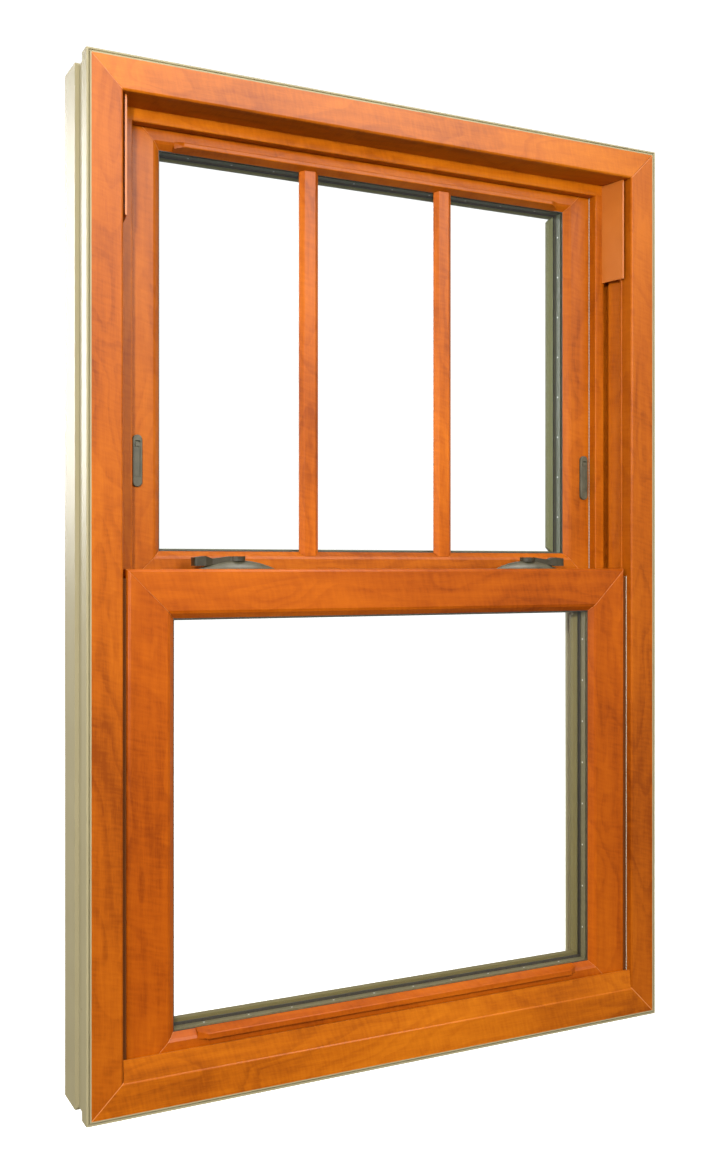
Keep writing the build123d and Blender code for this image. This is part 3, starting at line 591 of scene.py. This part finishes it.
def woven_pile():
    """White fibres in rows of tufts; on the lower sash, by the stile, they are painted dark brown as shade
    """
    finish = Finish("woven_pile")
    vector = finish.place_mm()
    x, y, z = finish.split(vector)
    fibres = finish.noise(vector, scale=1.8, detail=3.0)
    rows = abs((z / TUFT_PITCH).fraction() - 0.5) * 2.0
    tufts = fibres * FIBRE_SHARE + rows * ROW_SHARE
    white = finish.ramp(tufts, *TUFT_STOPS)
    off_middle = abs(x)
    # Painted shade: the lower pile is dark brown by the stile, white only by the jamb
    shaded_by_stile = 1 - off_middle.past(LOWER_PILE_SHADE_EDGE, PILE_SHADE_FADE)
    past_upper_pile = off_middle.step(UPPER_PILE_END, UPPER_PILE_END + 1)
    return finish.set(
        Base_Color=finish.blend(shaded_by_stile * past_upper_pile, white, PILE_PAINTED_SHADE),
        Roughness=0.95,
        Specular_IOR_Level=0.1,
        Normal=finish.bump(tufts, strength=0.6, distance=PILE_RELIEF),
    )


def floor_paint():
    """Pale floor paint with a glow of its own"""
    finish = Finish("floor_paint")
    shade = tinted(FLOOR_COLOUR, [FLOOR_SHADE] * 3)
    mottle, colour = finish.mottled(finish.place_mm(), shade, FLOOR_COLOUR, scale=0.004, detail=2.0)
    return finish.set(
        Base_Color=colour, Roughness=0.7, Emission_Color=WHITE, Emission_Strength=FLOOR_GLOW
    )


def wear(node, material):
    """Give a CAD node one material"""
    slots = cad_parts[node].data.materials
    slots.clear()
    slots.append(material)


def soften(node, width):
    """Round the sharp edges of an extruded piece"""
    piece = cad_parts[node]
    joined = piece.modifiers.new("joined_faces", "WELD")
    joined.merge_threshold = JOIN_GAP
    flat = piece.modifiers.new("flat_faces", "DECIMATE")
    flat.decimate_type = "DISSOLVE"
    flat.angle_limit = FLAT_ANGLE
    edges = piece.modifiers.new("soft_edges", "BEVEL")
    edges.width = width
    edges.segments = 2
    edges.limit_method = "ANGLE"
    edges.angle_limit = EDGE_ANGLE
    edges.harden_normals = True


def dress(material, width, *nodes):
    """Give extruded pieces a material and soft edges"""
    for node in nodes:
        wear(node, material)
        soften(node, width)


def mesh_object(name, shape, material):
    """Turn a shape into an object with one material"""
    mesh = bpy.data.meshes.new(name)
    shape.to_mesh(mesh)
    shape.free()
    mesh.materials.append(material)
    piece = bpy.data.objects.new(name, mesh)
    bpy.context.collection.objects.link(piece)
    return piece


def new_piece(name, shape, material):
    """Add a piece of trim to the window"""
    piece = mesh_object(name, shape, material)
    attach(piece, BODY)


def pane_ring(name, sash, insets, depths, material, rise=0.0):
    """Flat ring round a pane, between two insets from the pane's own edge and between two depths"""
    outer, inner = insets
    front, back = depths
    low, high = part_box(f"{sash}_inner_glass")
    width = high[0] - low[0] - 2 * outer
    height = high[2] - low[2] - 2 * outer
    middle = Vector((0, front, (low[2] + high[2]) / 2 + rise))
    upright = Matrix.Translation(middle) @ Matrix.Rotation(math.pi / 2, 4, "X")
    shape = bmesh.new()
    bmesh.ops.create_grid(shape, x_segments=1, y_segments=1, size=0.5)
    bmesh.ops.scale(shape, vec=(width, height, 1), verts=shape.verts)
    whole = shape.faces[:]
    bmesh.ops.inset_region(
        shape, faces=whole, thickness=inner - outer, use_boundary=True, use_even_offset=True
    )
    bmesh.ops.delete(shape, geom=whole, context="FACES")
    bmesh.ops.transform(shape, matrix=upright, verts=shape.verts)
    pulled = bmesh.ops.extrude_face_region(shape, geom=shape.faces[:])
    moved = [part for part in pulled["geom"] if isinstance(part, bmesh.types.BMVert)]
    bmesh.ops.translate(shape, vec=(0, back - front, 0), verts=moved)
    bmesh.ops.recalc_face_normals(shape, faces=shape.faces)
    new_piece(name, shape, material)


def rounded_strip(name, half_length, depths, heights, material):
    """Straight strip across the window with rounded edges"""
    middle = (0, sum(depths) / 2, sum(heights) / 2)
    size = (2 * half_length, depths[1] - depths[0], heights[1] - heights[0])
    shape = bmesh.new()
    bmesh.ops.create_cube(shape, size=1)
    bmesh.ops.scale(shape, vec=size, verts=shape.verts)
    bmesh.ops.translate(shape, vec=middle, verts=shape.verts)
    bmesh.ops.bevel(
        shape, geom=shape.edges[:], offset=STRIP_ROUND, affect="EDGES", segments=3, profile=0.5, material=-1
    )
    new_piece(name, shape, material)


def studio_floor():
    """Wide floor that is seen but throws no light on the window"""
    shape = bmesh.new()
    bmesh.ops.create_grid(shape, x_segments=1, y_segments=1, size=FLOOR_HALF)
    floor = mesh_object("studio_floor", shape, floor_paint())
    floor.visible_diffuse = False
    floor.visible_glossy = False


def studio_air():
    """White air to the eye; as light it is dimmer, most of all from below"""
    world = bpy.data.worlds.new("studio_air")
    world.use_nodes = True
    nodes = Nodes(world.node_tree)
    x, y, z = nodes.split(nodes.add("ShaderNodeTexCoord", {}, out="Generated"))
    smooth = {"interpolation_type": "SMOOTHSTEP"}
    light = nodes.add("ShaderNodeMapRange", smooth, z, SLOPE_LOW, SLOPE_HIGH, AIR_BELOW, AIR_ABOVE)
    seen = nodes.add("ShaderNodeLightPath", {}, out="Is Camera Ray")
    strength = nodes.add("ShaderNodeMapRange", {}, seen, 0.0, 1.0, light, AIR_SEEN)
    background = world.node_tree.nodes["Background"]
    nodes.feed(background.inputs["Color"], WHITE)
    nodes.feed(background.inputs["Strength"], strength)
    bpy.context.scene.world = world


def soft_box(name, place, target, size, watts):
    """Square lamp that isn't seen itself"""
    light = bpy.data.lights.new(name, "AREA")
    light.size = size
    light.energy = watts
    lamp = bpy.data.objects.new(name, light)
    lamp.location = place
    aim = Vector(target) - Vector(place)
    lamp.rotation_euler = aim.to_track_quat("-Z", "Y").to_euler()
    lamp.visible_camera = False
    bpy.context.collection.objects.link(lamp)
    return lamp


def spare_panes(lamp):
    """Keep a lamp's mirror image off the panes"""
    spared = bpy.data.collections.new("panes_without_sheen")
    for sash in SASHES:
        for pane in ("inner", "outer"):
            spared.objects.link(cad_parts[f"{sash}_{pane}_glass"])
    for link in spared.collection_objects:
        link.light_linking.link_state = "EXCLUDE"
    lamp.light_linking.receiver_collection = spared


def photo_camera():
    """Level camera at the photograph's place, with the horizon at its row"""
    lens = bpy.data.cameras.new("photo_camera")
    lens.sensor_fit = "VERTICAL"
    lens.sensor_height = SENSOR_HEIGHT
    lens.lens = FOCAL_PIXELS / IMAGE_HEIGHT * SENSOR_HEIGHT
    lens.shift_y = (HORIZON_ROW - IMAGE_HEIGHT / 2) / IMAGE_HEIGHT
    lens.clip_start = 0.01
    camera = bpy.data.objects.new("photo_camera", lens)
    camera.location = CAMERA_PLACE
    camera.rotation_euler = (math.pi / 2, 0, -CAMERA_YAW)
    bpy.context.collection.objects.link(camera)
    bpy.context.scene.camera = camera
    bpy.context.scene.view_settings.view_transform = "Standard"


# Frame
frame_level = laminated_member("frame_level", LEVEL, LEVEL_FRAME_TINT, frame_laminate, frame_weld)
frame_upright = laminated_member("frame_upright", UPRIGHT, UPRIGHT_FRAME_TINT, frame_laminate, frame_weld)
dress(frame_level, FRAME_ROUND, "frame_head", "frame_sill")
dress(frame_upright, FRAME_ROUND, "frame_left_jamb", "frame_right_jamb")

# Sashes and the upper sash's bars
masks = {sash: sash_masks(sash) for sash in SASHES}
sash_level = {}
for sash in SASHES:
    looks = (SASH_TINTS[sash], *masks[sash], BEAD_SHADE_COLOURS[sash])
    sash_level[sash] = laminated_member(f"{sash}_sash_level", LEVEL, *looks)
    sash_upright = laminated_member(f"{sash}_sash_upright", UPRIGHT, *looks)
    dress(sash_level[sash], SASH_ROUND, f"{sash}_sash_top_rail", f"{sash}_sash_bottom_rail")
    dress(sash_upright, SASH_ROUND, f"{sash}_sash_left_stile", f"{sash}_sash_right_stile")
bar_laminate = laminated_member("bar_laminate", UPRIGHT, BAR_TINT, masks["upper"][0])
dress(bar_laminate, SASH_ROUND, "upper_left_bar", "upper_right_bar")

# Glass, piles, covers and hardware
glass = clear_glass()
pile = woven_pile()
cover = cover_plastic()
bronze = bronze_paint("bronze_paint", BRONZE_DARK, BRONZE_LIGHT)
lever_bronze = bronze_paint("lever_bronze_paint", LEVER_DARK, LEVER_LIGHT)
for sash in SASHES:
    wear(f"{sash}_inner_glass", glass)
    wear(f"{sash}_outer_glass", glass)
    wear(f"{sash}_glass_spacer", spacer_metal(sash))
    wear(f"{sash}_sash_pile", pile)
for side in ("left", "right"):
    wear(f"{side}_jamb_cover", cover)
    wear(f"{side}_lock_lever", lever_bronze)
    for piece in ("lock_base", "lock_keeper", "vent_latch_plate", "vent_latch_slider"):
        wear(f"{side}_{piece}", bronze)

# Glazing seals
rubber = dark_rubber()
for sash in SASHES:
    inner_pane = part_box(f"{sash}_inner_glass")
    outer_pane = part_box(f"{sash}_outer_glass")
    room_front = inner_pane[0][1]
    gap_end = outer_pane[0][1]
    outdoor_back = outer_pane[1][1]
    pane_ring(
        f"{sash}_room_gasket", sash, (GLASS_BITE - GASKET_TUCK, GLASS_BITE + ROOM_GASKET_SHOW),
        (room_front - ROOM_GASKET_DEPTH, room_front - SEAL_GAP), rubber,
    )
    pane_ring(
        f"{sash}_edge_seal", sash, (GLASS_BITE - SEAL_TUCK, GLASS_BITE + SEAL_SHOW[sash]),
        (gap_end - SEAL_DEPTH, gap_end - SEAL_GAP), rubber, SEAL_RISE[sash],
    )
    pane_ring(
        f"{sash}_outdoor_gasket", sash, (GLASS_BITE - GASKET_TUCK, GLASS_BITE + OUTDOOR_GASKET_SHOW),
        (outdoor_back + SEAL_GAP, outdoor_back + OUTDOOR_GASKET_DEPTH), rubber,
    )

# Strips on the lower sash's bottom rail
lower_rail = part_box("lower_sash_bottom_rail")
lower_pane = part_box("lower_outer_glass")
sight_low = lower_pane[0][2] + GLASS_BITE
rounded_strip(
    "lower_lift_nose", NOSE_REACH, (lower_rail[0][1], lower_rail[0][1] + NOSE_DEPTH),
    (NOSE_LOW, NOSE_HIGH), sash_level["lower"],
)
rounded_strip(
    "lower_outdoor_bead", lower_pane[1][0] - GLASS_BITE - BEAD_END_GAP,
    (lower_pane[1][1] + BEAD_GLASS_GAP, lower_rail[1][1] - BEAD_SET_BACK),
    (sight_low - BEAD_ROOT, sight_low + BEAD_RISE), sash_level["lower"],
)

# Studio
studio_floor()
studio_air()
lamps = {name: soft_box(name, *settings) for name, *settings in SOFT_BOXES}
lamps["fill_light"].visible_glossy = False
lamps["sheen_light"].visible_diffuse = False
spare_panes(lamps["sheen_light"])
photo_camera()
